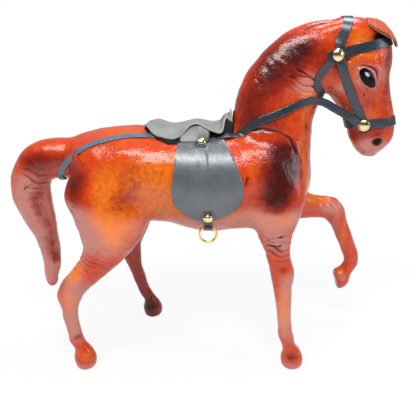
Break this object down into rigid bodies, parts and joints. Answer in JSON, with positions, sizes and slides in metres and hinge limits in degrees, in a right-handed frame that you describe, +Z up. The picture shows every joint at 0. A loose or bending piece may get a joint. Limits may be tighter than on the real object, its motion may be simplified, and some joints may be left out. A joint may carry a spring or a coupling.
{
  "type": "leather model horse",
  "caption": "Free-standing model horse in dyed moulded leather over pegged wooden cores, with saddle, bridle, reins, crupper and hanging stirrup rings; a foreleg is raised.",
  "frame": {"origin": "on the floor under the middle of the outline", "axes": "+X towards the head, +Y to the horse's left, +Z up"},
  "size_m": [0.3358, 0.104, 0.2992],
  "materials": {
    "hide": "dyed, varnished, glossy",
    "trim_hide": "dyed, varnished",
    "core_wood": "raw",
    "hoof": "dyed, varnished",
    "eye_glass": "polished",
    "tack_leather": "satin black",
    "seat_leather": "matt black",
    "brass": "polished"
  },
  "bodies": {
    "horse": {"bridle_rivets": "brass", "browband": "tack_leather", "crown_strap": "tack_leather", "crupper_strap": "tack_leather", "head_core": "core_wood", "head_dowel": "core_wood", "head_hide": "hide", "left_cheek_strap": "tack_leather", "left_ear": "trim_hide", "left_eye": "eye_glass", "left_eyelid": "trim_hide", "left_fore_hoof": "hoof", "left_fore_leg_core": "core_wood", "left_fore_leg_hide": "hide", "left_hind_hoof": "hoof", "left_hind_leg_core": "core_wood", "left_hind_leg_hide": "hide", "left_rein": "tack_leather", "left_saddle_flap": "tack_leather", "left_stirrup_tab": "tack_leather", "leg_dowels": "core_wood", "neck_core": "core_wood", "neck_dowel": "core_wood", "neck_hide": "hide", "noseband": "tack_leather", "right_cheek_strap": "tack_leather", "right_ear": "trim_hide", "right_eye": "eye_glass", "right_eyelid": "trim_hide", "right_fore_hoof": "hoof", "right_fore_leg_core": "core_wood", "right_fore_leg_hide": "hide", "right_hind_hoof": "hoof", "right_hind_leg_core": "core_wood", "right_hind_leg_hide": "hide", "right_rein": "tack_leather", "right_saddle_flap": "tack_leather", "right_stirrup_tab": "tack_leather", "saddle_band": "tack_leather", "saddle_rivets": "brass", "saddle_seat": "seat_leather", "stirrup_rivets": "brass", "tail_core": "core_wood", "tail_dowel": "core_wood", "tail_hide": "hide", "throatlatch": "tack_leather", "torso_core": "core_wood", "torso_hide": "hide"},
    "right_stirrup": {"right_stirrup_ring": "brass"},
    "left_stirrup": {"left_stirrup_ring": "brass"}
  },
  "joints": [
    {"name": "right_stirrup_swing", "type": "hinge", "parent": "horse", "child": "right_stirrup", "pos_m": [0.00814, -0.03765, 0.13471], "axis": [1, 0, 0], "range_deg": [-95, 40]},
    {"name": "left_stirrup_swing", "type": "hinge", "parent": "horse", "child": "left_stirrup", "pos_m": [0.00814, 0.03765, 0.13471], "axis": [1, 0, 0], "range_deg": [-40, 95]}
  ]
}
